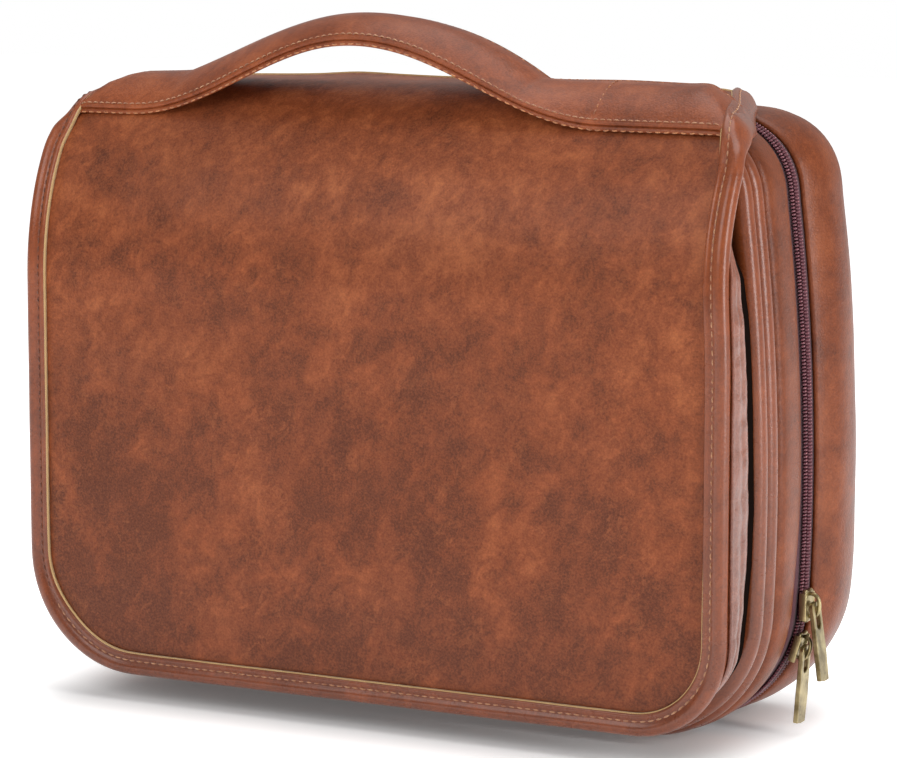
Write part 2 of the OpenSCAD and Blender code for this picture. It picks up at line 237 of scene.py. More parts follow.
class Shader:
    """Builds one node material."""

    def __init__(self, name):
        self.material = bpy.data.materials.new(name)
        self.material.use_nodes = True
        self.tree = self.material.node_tree
        self.bsdf = self.tree.nodes["Principled BSDF"]
        self.place = self.node("TexCoord").outputs["Object"]

    def node(self, kind, **settings):
        made = self.tree.nodes.new("ShaderNode" + kind)
        for key, value in settings.items():
            setattr(made, key, value)
        return made

    def link(self, source, target):
        self.tree.links.new(source, target)

    def put(self, target, value):
        if isinstance(value, bpy.types.NodeSocket):
            self.link(value, target)
        else:
            target.default_value = value

    def stretched(self, scale, turn=0.0):
        """Object coordinates turned about the Y axis, then scaled."""
        made = self.node("Mapping", vector_type="TEXTURE")
        self.link(self.place, made.inputs["Vector"])
        set_inputs(made, Scale=[1 / v for v in scale], Rotation=(0, turn, 0))
        return made.outputs["Vector"]

    def noise(self, size, detail=4.0, rough=0.6, distort=0.0, vector=None):
        """Noise with features about size millimetres across."""
        made = self.node("TexNoise")
        self.link(vector or self.place, made.inputs["Vector"])
        set_inputs(made, Scale=1 / (size * MM), Detail=detail, Roughness=rough, Distortion=distort)
        return made.outputs["Fac"]

    def cells(self, size):
        made = self.node("TexVoronoi", feature="F1")
        self.link(self.place, made.inputs["Vector"])
        set_inputs(made, Scale=1 / (size * MM))
        return made.outputs["Distance"]

    def ramp(self, fac, *stops):
        made = self.node("ValToRGB")
        self.link(fac, made.inputs["Fac"])
        ramp = made.color_ramp
        while len(ramp.elements) < len(stops):
            ramp.elements.new(0.5)
        for element, (at, colour) in zip(ramp.elements, stops):
            element.position = at
            element.color = (*colour, 1)
        return made.outputs["Color"]

    def grey(self, fac, low, high):
        """Fac spread so that low becomes 0 and high becomes 1."""
        made = self.node("MapRange")
        self.link(fac, made.inputs["Value"])
        set_inputs(made, From_Min=low, From_Max=high)
        return made.outputs["Result"]

    def maths(self, operation, a, b):
        made = self.node("Math", operation=operation)
        self.put(made.inputs[0], a)
        self.put(made.inputs[1], b)
        return made.outputs[0]

    def plus(self, a, b):
        return self.maths("ADD", a, b)

    def minus(self, a, b):
        return self.maths("SUBTRACT", a, b)

    def times(self, a, b):
        return self.maths("MULTIPLY", a, b)

    def axes(self):
        """Object coordinates as separate X, Y and Z."""
        made = self.node("SeparateXYZ")
        self.link(self.place, made.inputs[0])
        return made.outputs

    def blend(self, fac, a, b):
        made = self.node("Mix", data_type="RGBA", blend_type="MIX")
        self.put(made.inputs["Factor"], fac)
        colours = [s for s in made.inputs if s.type == "RGBA"]
        for socket, value in zip(colours, (a, b)):
            self.put(socket, value if isinstance(value, bpy.types.NodeSocket) else (*value, 1))
        return next(s for s in made.outputs if s.type == "RGBA")

    def bump(self, height, depth, under=None):
        """A bump of depth millimetres, laid over another bump."""
        made = self.node("Bump")
        set_inputs(made, Strength=1.0, Distance=depth * MM)
        self.link(height, made.inputs["Height"])
        if under is not None:
            self.link(under, made.inputs["Normal"])
        return made.outputs["Normal"]

    def finish(self, colour, rough, normal=None, **sockets):
        self.put(self.bsdf.inputs["Base Color"], colour)
        self.put(self.bsdf.inputs["Roughness"], rough)
        if normal is not None:
            self.link(normal, self.bsdf.inputs["Normal"])
        set_inputs(self.bsdf, **sockets)
        return self.material


def leather(
    name, dark, mid, light, contrast=1.0, rough=(0.4, 0.56), grain=0.07, crease=0.16, coat=0.04, shine=0.3,
    edge_wear_and_foot_shade=0.0,
):
    """Mottled pull-up leather: clouds, patches, pale creases and pores, and painted shade that darkens it
    towards its foot.
    """
    s = Shader(name)
    clouds = s.grey(s.noise(36, 4, 0.6, 0.3), 0.36, 0.66)
    slanted = s.stretched((1.2, 1, 0.82), 0.6)
    patches = s.grey(s.noise(14, 8, 0.72, 0.5, slanted), 0.34, 0.68)
    flecks = s.grey(s.noise(4.2, 7, 0.76, 0.4), 0.34, 0.68)
    tone = s.plus(s.times(clouds, 0.34), s.times(patches, 0.42))
    tone = s.plus(tone, s.times(flecks, 0.24))
    tone = s.plus(s.times(s.minus(tone, 0.5), contrast), 0.5)
    # Painted shade: the tone drops near the floor, fully below 3 cm and fading out by 18 cm up.
    tone = s.plus(tone, s.times(s.grey(s.axes()["Z"], 0.03, 0.18), edge_wear_and_foot_shade))
    colour = s.ramp(s.minus(tone, edge_wear_and_foot_shade), (0.16, dark), (0.48, mid), (0.86, light))
    veil = s.grey(s.noise(52, 3, 0.5, 0.2), 0.44, 0.7)
    colour = s.blend(s.times(veil, 0.3), colour, (0.8 * dark[0], 0.85 * dark[1], 1.3 * dark[2]))
    fibres = s.noise(6.0, 9, 0.72, 0.9, slanted)
    pale = s.ramp(fibres, (0.53, (0, 0, 0)), (0.60, (1, 1, 1)), (0.67, (0, 0, 0)))
    where = s.grey(s.noise(30, 3, 0.6), 0.42, 0.62)
    pale = s.times(s.times(pale, where), 0.24)
    colour = s.blend(pale, colour, tuple(min(1, 1.3 * c) for c in light))
    specks = s.grey(s.noise(0.8, 3, 0.7), 0.34, 0.7)
    colour = s.blend(0.27, colour, s.blend(specks, dark, light))
    height = s.minus(s.cells(0.8), s.times(s.noise(1.8, 4, 0.6), 0.6))
    normal = s.bump(height, grain)
    normal = s.bump(s.noise(5.5, 7, 0.66, 0.8), crease, normal)
    gloss = s.plus(s.times(s.noise(7, 5, 0.6), rough[1] - rough[0]), rough[0] - 0.03)
    return s.finish(colour, gloss, normal, Specular_IOR_Level=shine, Coat_Weight=coat, Coat_Roughness=0.3)


def cloth(name, dark, light, thread=0.7, rough=0.85, depth=0.12, sheen=0.12, shine=0.12):
    """Plain woven cloth: two crossing rows of threads."""
    s = Shader(name)
    x, y, z = s.axes()
    turns = tau / (thread * MM)
    rows = [s.maths("SINE", s.times(axis, turns), 0.0) for axis in (s.plus(x, y), z)]
    shade = s.grey(s.times(*rows), -1.0, 1.0)
    wear = s.grey(s.noise(14, 4, 0.6), 0.35, 0.7)
    colour = s.blend(s.times(shade, 0.6), dark, light)
    colour = s.blend(s.times(wear, 0.3), colour, dark)
    return s.finish(colour, rough, s.bump(shade, depth), Sheen_Weight=sheen, Specular_IOR_Level=shine)


def thread(name, colour, shadow):
    """Sewing thread with its twist."""
    s = Shader(name)
    band = s.node("TexWave", bands_direction="DIAGONAL")
    s.link(s.place, band.inputs["Vector"])
    set_inputs(band, Scale=0.3 / (0.5 * MM), Distortion=1.0)
    tone = s.blend(s.grey(s.noise(5, 3), 0.35, 0.7), shadow, colour)
    tone = s.blend(s.times(band.outputs["Fac"], 0.35), tone, shadow)
    return s.finish(tone, 0.6, s.bump(band.outputs["Fac"], 0.06), Sheen_Weight=0.3)


def metal(name, dark, light, rough=(0.26, 0.42), patina=3.0):
    """Brushed metal with darker patina in its low places."""
    s = Shader(name)
    streak = s.noise(1.2, 6, 0.7, 0.2, s.stretched((1, 1, 0.12)))
    tone = s.blend(s.grey(s.noise(patina, 4, 0.6, 0.4), 0.36, 0.62), dark, light)
    edge = s.node("NewGeometry").outputs["Pointiness"]
    edge_wear_and_foot_shade = s.grey(edge, 0.51, 0.57)
    tone = s.blend(s.times(edge_wear_and_foot_shade, 0.6), tone, tuple(min(1, c * 1.35) for c in light))
    gloss = s.plus(s.times(streak, rough[1] - rough[0]), rough[0])
    return s.finish(tone, gloss, s.bump(streak, 0.02), Metallic=1.0)


PANEL = leather(
    "mottled_leather", (0.08, 0.017, 0.0058), (0.215, 0.049, 0.015), (0.44, 0.132, 0.045),
    shine=0.22, edge_wear_and_foot_shade=0.22,
)
SIDE = leather(
    "side_leather", (0.077, 0.016, 0.005), (0.182, 0.0405, 0.0112), (0.31, 0.085, 0.028),
    0.9, (0.34, 0.46), coat=0.06, shine=0.24, edge_wear_and_foot_shade=0.08,
)
TRIM = leather(
    "trim_leather", (0.11, 0.023, 0.0065), (0.225, 0.05, 0.014), (0.35, 0.093, 0.029),
    0.6, (0.26, 0.36), grain=0.03, crease=0.05, coat=0.22, shine=0.4, edge_wear_and_foot_shade=0.2,
)
STRAP = leather(
    "strap_leather", (0.10, 0.021, 0.0065), (0.235, 0.053, 0.0155), (0.40, 0.11, 0.037),
    0.95, (0.34, 0.48), crease=0.1, shine=0.26,
)
CREASED = leather(
    "creased_leather", (0.13, 0.034, 0.017), (0.25, 0.072, 0.034), (0.39, 0.14, 0.08),
    0.6, (0.22, 0.34), crease=0.5, coat=0.4, shine=0.55, edge_wear_and_foot_shade=0.42,
)
RAW_EDGE = cloth("raw_edge", (0.42, 0.26, 0.11), (0.74, 0.54, 0.29), thread=0.9, rough=0.55, depth=0.05)
PALE_THREAD = thread("pale_thread", (0.56, 0.30, 0.16), (0.32, 0.12, 0.05))
TAN_THREAD = thread("tan_thread", (0.60, 0.24, 0.085), (0.30, 0.10, 0.035))
# The pale thread made dark: painted shade for the stitches in the binding's shaded groove along the flap's
# left side.
THREAD_IN_PAINTED_SHADE = thread("thread_in_painted_shade", (0.20, 0.055, 0.020), (0.09, 0.022, 0.008))
LINING = cloth("lining_cloth", (0.035, 0.020, 0.015), (0.085, 0.052, 0.040), thread=0.8)
# Near-black cloth: painted shade for the gap between the flap and the piping.
SHADE = cloth("gap_shade_cloth", (0.005, 0.003, 0.0025), (0.014, 0.009, 0.007), sheen=0.0, rough=1.0, shine=0.0)
NET = cloth("net_cloth", (0.018, 0.014, 0.012), (0.05, 0.042, 0.038), thread=0.5)
ELASTIC = cloth("elastic_band", (0.03, 0.02, 0.017), (0.09, 0.06, 0.05), thread=1.4, depth=0.3)
TAPE = cloth("zipper_tape", (0.05, 0.011, 0.018), (0.16, 0.036, 0.055), thread=0.9, rough=0.8)
COIL = cloth(
    "zipper_coil", (0.09, 0.018, 0.028), (0.19, 0.045, 0.06),
    thread=0.6, rough=0.42, depth=0.03, sheen=0.0, shine=0.5,
)
TAPE_THREAD = thread("tape_thread", (0.42, 0.15, 0.17), (0.17, 0.05, 0.07))
BRASS = metal("antique_brass", (0.16, 0.12, 0.055), (0.44, 0.36, 0.19), patina=7.0)
STEEL = metal("plated_steel", (0.30, 0.30, 0.31), (0.56, 0.56, 0.57), rough=(0.16, 0.28))

# ---- the shells' outline

LOOP_STEPS = 420


def top_edge(x, g):
    """Height of the outline's top edge at x, grown by g."""
    x = np.abs(x)
    crown = BODY_H + g + TOP_BULGE * (1 - np.clip(x / TOP_CX, 0, 1) ** 2)
    across = np.clip(x - TOP_CX, 0, TOP_R + g)
    corner = TOP_CZ + np.sqrt(np.maximum((TOP_R + g) ** 2 - across**2, 0))
    return np.where(x <= TOP_CX, crown, corner)


def outline_loop():
    """Even points round the shell from the bottom middle by way of the right, and their normals."""
    a = np.linspace(-90, 0, 40) * pi / 180
    bottom = oval((BOTTOM_CX, BOTTOM_R), (BOTTOM_R, BOTTOM_R), a)
    t = np.linspace(0, 1, 60)[1:-1]
    side = np.c_[CORNER_X - TOP_TAPER * t + 4 * SIDE_BULGE * t * (1 - t), mix(BOTTOM_R, TOP_CZ, t)]
    top = oval((TOP_CX, TOP_CZ), (TOP_R, TOP_R), a + pi / 2)
    x = TOP_CX * (1 - np.linspace(0, 1, 30)[1:])
    crown = np.c_[x, top_edge(x, 0)]
    half = np.concatenate([[[0, 0]], bottom, side, top, crown])
    points = even(np.concatenate([half, half[-2:0:-1] * (-1, 1), half[:1]]), LOOP_STEPS, closed=True)
    for _ in range(3):
        points = (np.roll(points, 1, 0) + 2 * points + np.roll(points, -1, 0)) / 4
    ahead = unit(np.roll(points, -1, 0) - np.roll(points, 1, 0))
    return points, np.c_[ahead[:, 1], -ahead[:, 0]]


LOOP, LOOP_OUT = outline_loop()


def skin_height(y, d):
    """Height of the curved top d below the skin of flap and wrap."""
    share = np.clip(-y / (FLAP_FRONT - d), 0, 1)
    return CROWN_START + (CROWN_RISE - d) * np.sqrt(1 - share**2)


def ring(profile, loop=LOOP, out=LOOP_OUT):
    """Sections [n, m, 3] of a profile of (outward, depth) points carried round the outline."""
    profile = np.asarray(profile, float)
    flat = loop[:, None, :] + out[:, None, :] * profile[None, :, :1]
    depth = np.broadcast_to(profile[None, :, 1], flat.shape[:2])
    return np.stack([flat[..., 0], depth, flat[..., 1]], -1)


def settle(profile):
    """A front-shell ring, lowered under the wrap at its top and raised a little at its foot."""
    sections = ring(profile)
    outward = np.broadcast_to(np.asarray(profile, float)[None, :, 0], sections.shape[:2])
    ceiling = skin_height(sections[..., 1], COVER) + outward
    lift = np.interp(sections[..., 1], [-SHELL_FRONT - 2, -28, -18, -12], [4.2, 3.0, 0.5, 0.0])
    sections[..., 2] += lift * ease((FOOT_HEIGHT - sections[..., 2]) / FOOT_HEIGHT)
    sections[..., 2] = soft_min(sections[..., 2], ceiling, 7.0)
    return sections


def closed_by_disc(sections, depths, shares):
    """A shell wall continued inward to a middle point, by a ring for each depth and share of the way out."""
    last = sections[:, -1]
    middle = np.array([0, 0, MIDDLE_Z])
    rings = [sections.transpose(1, 0, 2)]
    for y, share in zip(depths, shares):
        inner = middle + (last - middle) * share
        inner[:, 1] = y
        rings.append(inner[None])
    rows = np.concatenate(rings)
    count = rows.shape[1]
    points = np.concatenate([rows.reshape(-1, 3), [[0, depths[-1], MIDDLE_Z]]])
    faces = quads(len(rows), count, close_columns=True)
    tip, base = len(points) - 1, (len(rows) - 1) * count
    faces += [(base + j, base + (j + 1) % count, tip) for j in range(count)]
    return points, faces


def stands_for(piece, slot, *nodes):
    if nodes:
        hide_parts(*nodes)


def stuck_on(piece, body, slot, *nodes):
    """Rides a piece on a body and lets it stand for CAD nodes."""
    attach(piece, body)
    stands_for(piece, slot, *nodes)


# ---- back shell


def back_shell():
    rim = span("zipper_tape_back")[1][1]
    wall = [(outward, rim + behind) for outward, behind in (
        (-2.6, 2.6), (-2.0, 0.6), (-0.7, 0), (0.2, 0.9), (0.7, 3), (1.4, 9), (1.9, 16), (1.6, 22),
        (0.5, 27.5), (-1.6, 32), (-4.8, 36), (-9.0, 38.9), (-14.5, 40.4),
    )]
    depths = [SHELL_BACK + d for d in (0.9, 1.4, 1.8, 2, 2)]
    points, faces = closed_by_disc(ring(wall), depths, [0.93, 0.8, 0.6, 0.38, 0.16])
    x, y, z = points.T
    calm = ease((y - rim - 3) / 12)
    sag = ripple(points, 60, 3.1) * 0.9 + ripple(points, 22, 7.7) * 0.25
    y += sag * calm * ease((y - 50) / 8) - 0.4 * calm
    x += np.sign(x) * SIDE_SWELL * (ease((y - rim) / 9) * ease((np.abs(x) - 96) / 46))
    shift = points - np.array([0, 0, MIDDLE_Z])
    shift[:, 1] = 0
    corner = bell((np.abs(x) - CORNER_X + 14) / 26, (z - 14) / 26)
    round_off = 2.2 * corner * ease((y - rim + 1) / 12)
    points += unit(shift) * (ripple(points, 34, 1.7) * 0.6 * calm - round_off)[:, None]
    points[:, 2] = np.maximum(points[:, 2], 0.15)
    shell = mesh_piece("back_shell_leather", points, faces, SIDE, flip=True, thick=1.6)
    nodes = ("back_gusset", "back_panel", "back_padding", "back_stiffener")
    stuck_on(shell, "back_shell", "brown_leather", *nodes)


# ---- front shell


def front_shell():
    rim = span("zipper_tape_front")[0][1]
    wall = [(outward, rim - ahead) for outward, ahead in (
        (-2.4, 2), (-1.7, 0.3), (-0.5, -0.1), (0.1, 0.9), (0.35, 4), (0.45, 10), (0.3, 14), (-0.4, 16.4),
        (-1.9, 17.8), (-4.2, 18.4), (-4.4, 16.6), (-2.8, 15.2),
    )]
    sections = settle(wall)
    low = ease((95 - sections[..., 2]) / 60)
    sections[..., 1] -= 4.5 * low * ease((sections[..., 1] - rim + 8) / 7)
    gusset = swept("front_shell_side", sections, SIDE, True)
    stuck_on(gusset, "front_shell", "brown_leather", "front_gusset")

    for name, node, middle in (
        ("piping_roll_inner", "piping_inner", -18.9), ("piping_roll_outer", "piping_outer", -28.0),
    ):
        roll = swept(name, settle(oval((-4.3, middle), (4.5, 4.3), around(32))), TRIM, True, flip=True)
        stuck_on(roll, "front_shell", "binding_leather", node)

    face = -SHELL_FRONT
    edge = [(-5.8, face + 8), (-6.4, face + 4), (-7.8, face + 1.6), (-10.5, face + 0.4)]
    depths = [face - 0.9, face - 1.2, face - 1.4, face - 1.4]
    points, faces = closed_by_disc(settle(edge), depths, [0.9, 0.7, 0.42, 0.16])
    points[:, 1] += ripple(points, 30, 5.0) * 0.35
    panel = mesh_piece("front_panel_leather", points, faces, PANEL, thick=1.4)
    stuck_on(panel, "front_shell", "brown_leather", "front_panel", "front_stiffener")


# ---- zipper


def open_run():
    """The zipper's stretch of the outline: from top left by way of the bottom, and not under the wrap."""
    shown = (LOOP[:, 1] < TOP_CZ) | (np.abs(LOOP[:, 0]) > TOP_CX + 6)
    order = np.roll(np.arange(LOOP_STEPS), LOOP_STEPS // 2)
    keep = order[shown[order]]
    return LOOP[keep], LOOP_OUT[keep]


def bead(middle, outward, ahead, side, sizes):
    """One tooth or stitch of the zipper, an egg across it: sizes are half its length, reach and height."""
    length, reach, height = sizes
    sides = 8
    tip = np.array([0, side * reach, 0])
    points = [middle - tip]
    for share, r in ((-0.6, 0.8), (0.2, 1.0), (0.85, 0.55)):
        for t in around(sides):
            wide, high = ahead * length * r * cos(t), outward * height * r * sin(t)
            points.append(middle + wide + high + tip * share)
    points.append(middle + tip)
    last, end = 1 + 2 * sides, 1 + 3 * sides
    faces = [(0, 1 + (j + 1) % sides, 1 + j) for j in range(sides)]
    faces += [tuple(1 + v for v in face) for face in quads(3, sides, close_columns=True)]
    faces += [(last + j, last + (j + 1) % sides, end) for j in range(sides)]
    return np.array(points), faces


def zipper():
    loop, out = open_run()
    along = distances(loop)
    for side, half in HALVES:
        near, far = ZIP_Y + side * 1.2, ZIP_Y + (9.2 if side > 0 else -13.0)
        profile = [(-1.5, near), (-1.45, mix(near, far, 0.5)), (-1.7, far), (-2.5, far), (-2.3, near)]
        tape = swept(f"tape_{half}_shell", ring(profile, loop, out), TAPE, flip=side < 0)
        stuck_on(tape, f"{half}_shell", "zipper_tape", f"zipper_tape_{half}")

    for side, half in HALVES:
        body = f"{half}_shell"
        teeth, sewing = [], []
        for i in range(int(along[-1] / TOOTH_PITCH)):
            at = (i + (0.5 if side > 0 else 0.0)) * TOOTH_PITCH
            (x, z), (ox, oz) = read(at, along, loop), read(at, along, out)
            outward, ahead = np.array([ox, 0, oz]), np.array([-oz, 0, ox])
            for store, reach, sizes, lift in (
                (teeth, 1.9, (0.5, 1.9, 0.6), -0.6),
                (sewing, 2.4, (0.3, 0.5, 0.3), -0.1),
            ):
                middle = np.array([x, 0, z]) + outward * lift + np.array([0, ZIP_Y + side * reach, 0])
                store.append(bead(middle, outward, ahead, side, sizes))
        coil = mesh_piece(f"coil_{body}", *join(teeth), COIL, flip=side > 0)
        stuck_on(coil, body, "zipper_teeth", f"zipper_teeth_{half}")
        seam = mesh_piece(f"tape_sewing_{body}", *join(sewing), TAPE_THREAD, flip=side > 0)
        stuck_on(seam, body, "zipper_tape")


# ---- flap, wrap and binding


def skin_table():
    """The skin's side profile by distance from the flap's foot: depth, height and outward direction."""
    a = np.linspace(0, pi / 2, 200)
    front = np.c_[np.full(60, -FLAP_FRONT), np.linspace(FLAP_FLOOR - 12, CROWN_START, 60)]
    crown = np.c_[-FLAP_FRONT * np.cos(a), CROWN_START + CROWN_RISE * np.sin(a)][1:]
    back = np.c_[np.linspace(0, 50, 40)[1:], np.full(39, CROWN_START + CROWN_RISE)]
    line = np.concatenate([front, crown, back])
    ahead = unit(np.gradient(line, axis=0))
    return distances(line) - 12, line, np.c_[-ahead[:, 1], ahead[:, 0]]


SKIN_S, SKIN_LINE, SKIN_OUT = skin_table()
HINGE_S = float(SKIN_S[np.argmin(np.hypot(*(SKIN_LINE - FLAP_AXIS[1:]).T))])
REAR_S = float(np.interp(WRAP_BACK - 1.0, SKIN_LINE[:, 0], SKIN_S))
STRAIGHT_S = CROWN_START - FLAP_FLOOR


def on_skin(x, s, h):
    """Points h above the skin of flap and wrap, at x across and s along from the flap's foot."""
    x, s, h = together(x, s, h)
    flat = read(s, SKIN_S, SKIN_LINE) + read(s, SKIN_S, SKIN_OUT) * h[..., None]
    end = np.clip((np.abs(x) - WRAP_END_X) / WRAP_END_RUN, 0, 1) ** 1.4
    ceiling = BODY_H + WRAP_OUT + 5 - 2.4 * (x / 126) ** 2 - 6.0 * end + h
    return np.stack([x, flat[..., 0], soft_min(flat[..., 1], ceiling, 3.5)], -1)


def half_width(s, side=-1):
    """Half the width of flap and wrap: narrower behind the flap's hinge, wider on the flap's right."""
    y = np.interp(s, SKIN_S, SKIN_LINE[:, 0])
    narrow = np.interp(y, [FLAP_AXIS[1] - 6, -12, 0, ZIP_Y, WRAP_BACK + 8], [0, 8.5, 13.6, 18.4, 25.0])
    wide = FLAP_WIDER * (side > 0) * (1 - ease((s - STRAIGHT_S + 20) / 50))
    return FLAP_HALF + wide - narrow * (s > STRAIGHT_S)


def edge_x(s, side, inset=0.0):
    """How far from the middle the flap's edge lies at s on one side, taken inset further in."""
    r = FLAP_R[side]
    corner = half_width(0, side) - r + np.sqrt(np.maximum((r - inset) ** 2 - np.clip(r - s, 0, None) ** 2, 0))
    return np.where(s < r, corner, half_width(s, side) - inset)


def flap_edge():
    """The binding's outer edge as (x, s) points, from left rear round the flap to right rear."""
    halves = []
    for side in (-1, 1):
        r = FLAP_R[side]
        a = np.linspace(0, pi / 2, 60)
        arc = np.c_[half_width(0, side) - r + r * np.sin(a), r - r * np.cos(a)]
        up = np.linspace(r, REAR_S, 200)[1:]
        halves.append(np.concatenate([[[0, 0]], arc, np.c_[half_width(up, side), up]]) * (side, 1))
    points = even(np.concatenate([halves[0][::-1], halves[1][1:]]), 700)
    for _ in range(6):
        points[1:-1] = (points[:-2] + 2 * points[1:-1] + points[2:]) / 4
    ahead = unit(np.gradient(points, axis=0))
    return points, np.c_[-ahead[:, 1], ahead[:, 0]]


EDGE, EDGE_IN = flap_edge()
STRAP_HALF = 16.0
STRAP_MIDDLE_S = HINGE_S + 3.6 + STRAP_HALF


def edge_sections(profile, extra=0.0):
    """Sections of a (distance in from the edge, height above the skin) profile carried round the flap.
    The binding is wider round the left corner, and it is raised where the strap's ends pass under it."""
    (x, s), (w, h) = EDGE.T, np.array(profile, float).T
    wide = 1 + 0.22 * bell((x + FLAP_HALF - 14) / 24, (s - 14) / 24)
    rear = ease((s - STRAP_MIDDLE_S + STRAP_HALF + 8) / 12)
    over = rear * ease((STRAP_MIDDLE_S + STRAP_HALF + 3 - s) / 5)
    at = EDGE[:, None, :] + EDGE_IN[:, None, :] * w[None, :, None] * wide[:, None, None]
    inner = np.clip((w - 2.5) / 2, 0, 1)
    outer = np.clip((6.2 - w) / 6.2, 0, 1)
    groove = 0.6 * bell((w - SEAM_IN) / 0.8) * (h > 0)
    h = h[None, :] + 1.4 * over[:, None] * inner[None, :] + np.reshape(extra, (-1, 1))
    h = h + rear[:, None] * (groove - 4.0 * outer)[None, :]
    return on_skin(at[..., 0], at[..., 1], h)


def from_edge(edge, inward, w, h):
    """Points w in from the flap's edge and h above the skin."""
    at = edge[:, None, :] + inward[:, None, :] * w[..., None]
    return on_skin(at[..., 0], at[..., 1], h)


def bend_at_flap(piece, slot, *nodes):
    """Bakes a piece's transform into its mesh and hides the CAD nodes it stands for."""
    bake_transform(piece)
    stands_for(piece, slot, *nodes)


def flap_grid(low, top, rows, columns):
    """Grid of (x, s) over the flap, from low inside its edge up to s = top, with each point's distance in."""
    foot = low + (48 - low) * (1 - np.cos(np.linspace(0, pi / 2, 26)))
    s = np.r_[foot, np.linspace(48, top, rows)[1:]]
    left, right = -edge_x(s, -1, low), edge_x(s, 1, low)
    dense = pi / 2 * 0.92
    across = np.sin(np.linspace(-1, 1, columns) * dense) / sin(dense)
    x = left[:, None] + (right - left)[:, None] * (across[None, :] + 1) / 2
    s = np.broadcast_to(s[:, None], x.shape)
    return x, s, np.minimum(np.minimum(x - left[:, None], right[:, None] - x), s - low)


def flap_panel():
    """The front leather in one piece, from the flap's foot over the top to the wrap's raw rear edge."""
    x, s, inset = flap_grid(BINDING_W - 3.0, REAR_S, 150, 150)
    flat = level(x, s)
    puff = 1.4 * ease(inset / 44) * (1 - ease((s - HINGE_S + 40) / 40))
    sewn = -0.5 * (1 - ease((inset - 2.5) / 6.0))
    waves = (ripple(flat, 46, 2.2) * 0.6 + ripple(flat, 17, 9.1) * 0.2) * ease(inset / 14)
    behind = ease((s - REAR_S + 9) / 9)
    gape = 0.9 * behind * bell((x + 42) / 16)
    points = on_skin(x, s, puff + sewn + waves * (1 - 0.6 * behind) + gape)
    panel = mesh_piece("front_leather", points, quads(*x.shape), PANEL, thick=1.3)
    bend_at_flap(panel, "brown_leather", "flap_panel", "wrap", "wrap_lining")

    cut = np.array([(0, -0.2, -1.4), (0, 0.4, -1.4), (0, 0.4, 0.5), (0, -0.2, 0.55)])
    line = swept("rear_raw_edge", points[-1][:, None] + cut[None], RAW_EDGE)
    stuck_on(line, "front_shell", "binding_leather")


def binding():
    profile = [
        (BINDING_W, -0.5), (BINDING_W, 0.85), (8.1, 1.3), (7.3, 1.45), (6.5, 1.05), (SEAM_IN, 0.45),
        (4.9, 1.05), (4.0, 1.6), (3.0, 1.8), (2.0, 1.6), (1.1, 0.95), (0.45, 0.0), (0.1, -1.1), (0.1, -2.0),
        (0.5, -2.8), (1.4, -3.3), (3.0, -3.4), (5.5, -3.2), (7.5, -2.2),
    ]
    sections = edge_sections(profile)
    sections[..., 1] += ripple(sections[:, :1], 26, 4.4) * 0.22
    piece = swept("flap_binding_leather", sections, TRIM)
    bend_at_flap(piece, "binding_leather", "flap_binding", "wrap_binding_left", "wrap_binding_right")

    edge = [(BINDING_W + a, h) for a, h in ((-0.1, -0.5), (-0.1, 0.98), (0.2, 0.9), (0.28, -0.5))]
    x, s = EDGE.T
    hidden = ease((x - 100) / 20) * ease((s - 40) / 60) * ease((STRAP_MIDDLE_S - 14 - s) / 20)
    gold = swept("raw_edge_line", edge_sections(edge, -1.4 * hidden), RAW_EDGE)
    bend_at_flap(gold, "binding_leather")


def stitch(middle, ahead, outward, length, radius):
    """One sewn stitch: a thin bow of thread whose ends dive into the leather."""
    rings, sides = 5, 6
    sideways = np.cross(ahead, outward)
    a = around(sides)
    points = []
    for t in np.linspace(-1, 1, rings):
        swell = radius * (0.55 + 0.45 * (1 - t * t))
        centre = middle + ahead * (t * length / 2) + outward * (radius * 0.55 * (1 - 2.2 * t * t))
        points += [centre + sideways * swell * cos(b) + outward * swell * sin(b) for b in a]
    return np.array(points), tube_faces(rings, sides)


def stitch_row(name, line, outward, material, pitch, length, radius, slack=0.0):
    """A row of stitches along a line of points."""
    along = distances(line)
    parts = []
    for i in range(int((along[-1] - pitch) / pitch)):
        at = (i + 0.75) * pitch
        middle = read(at, along, line)
        up = unit(read(at, along, outward))
        ahead = unit(read(at + 0.4, along, line) - middle)
        twist = slack * noise.noise(Vector(middle) * 0.9)
        ahead = unit(ahead + np.cross(up, ahead) * twist)
        parts.append(stitch(middle, ahead, up, length, radius))
    return mesh_piece(name, *join(parts), material)


def binding_stitches():
    line = edge_sections([(SEAM_IN, 0.52)])[:, 0]
    above = edge_sections([(SEAM_IN, 0.52)], 1.0)[:, 0]
    left_side = (EDGE[:, 0] < -60) & (EDGE[:, 1] > 22)
    split = int(np.flatnonzero(left_side)[-1])
    # Along the flap's left side the stitches take the dark thread: painted shade in the groove there.
    for side, part, material in (
        ("left", slice(0, split), THREAD_IN_PAINTED_SHADE), ("right", slice(split, None), PALE_THREAD),
    ):
        name = f"binding_stitches_{side}"
        up = (above - line)[part]
        row = stitch_row(name, line[part], up, material, STITCH_PITCH, STITCH_LENGTH, 0.34, slack=0.25)
        bend_at_flap(row, "binding_leather")


def pouch_depth(s):
    """How far the flap's back lies below its skin, by distance from the flap's foot."""
    return np.interp(s, [8, 30, 60, 80, 115, 150, 164, 176, 187], [2.4, 9, 16, 17.5, 15.5, 12, 8.5, 4.2, 2.4])


